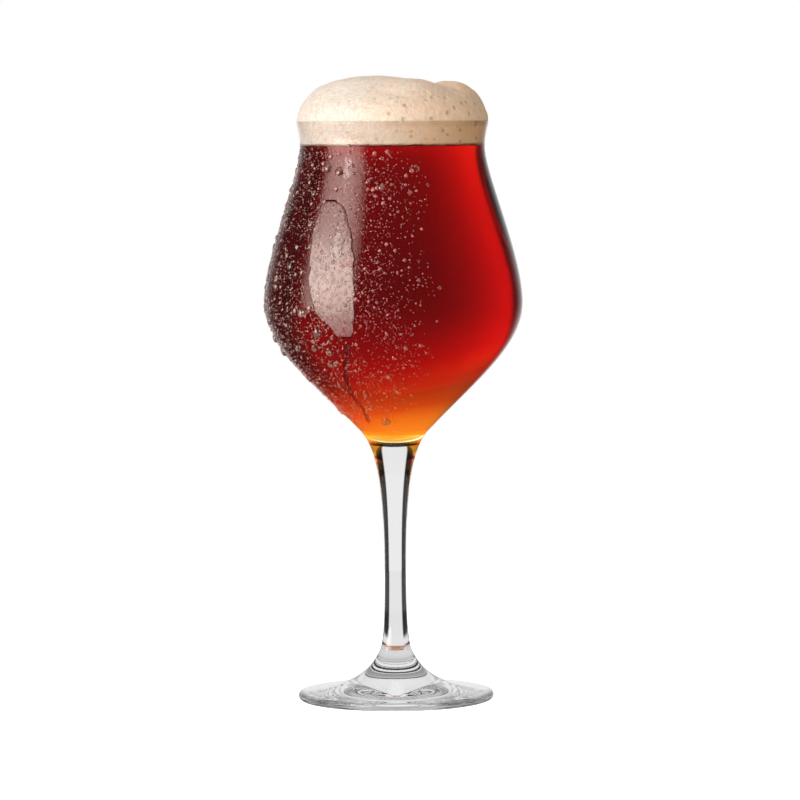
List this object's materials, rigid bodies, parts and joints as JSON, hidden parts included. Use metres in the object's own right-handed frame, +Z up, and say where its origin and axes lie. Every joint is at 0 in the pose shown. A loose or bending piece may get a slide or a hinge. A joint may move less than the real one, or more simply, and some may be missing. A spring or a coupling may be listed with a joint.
{
  "type": "stemmed beer glass",
  "caption": "Stemmed tulip-shaped beer glass on a round foot, filled with red ale under a domed foam head, with water drops on the outside.",
  "frame": {"origin": "middle of the foot's underside, on the table", "axes": "+Z up along the axis of the glass, from foot to foam; -Y is the pictured front, and +X is to its right"},
  "size_m": [0.0901, 0.09, 0.218],
  "materials": {
    "foot_glass": "clear fire-polished",
    "stem_glass": "clear fire-polished",
    "bowl_glass": "clear fire-polished",
    "beer": "clear red liquid",
    "foam": "fine bubbles",
    "water": "clear wet",
    "wet_film": "thin wet sheet"
  },
  "bodies": {
    "root": {"foot": "foot_glass", "stem": "stem_glass", "bowl": "bowl_glass", "beer": "beer", "foam_head": "foam", "large_drops": "water", "fine_drops": "water", "water_film": "wet_film", "water_runs": "water"}
  },
  "joints": []
}
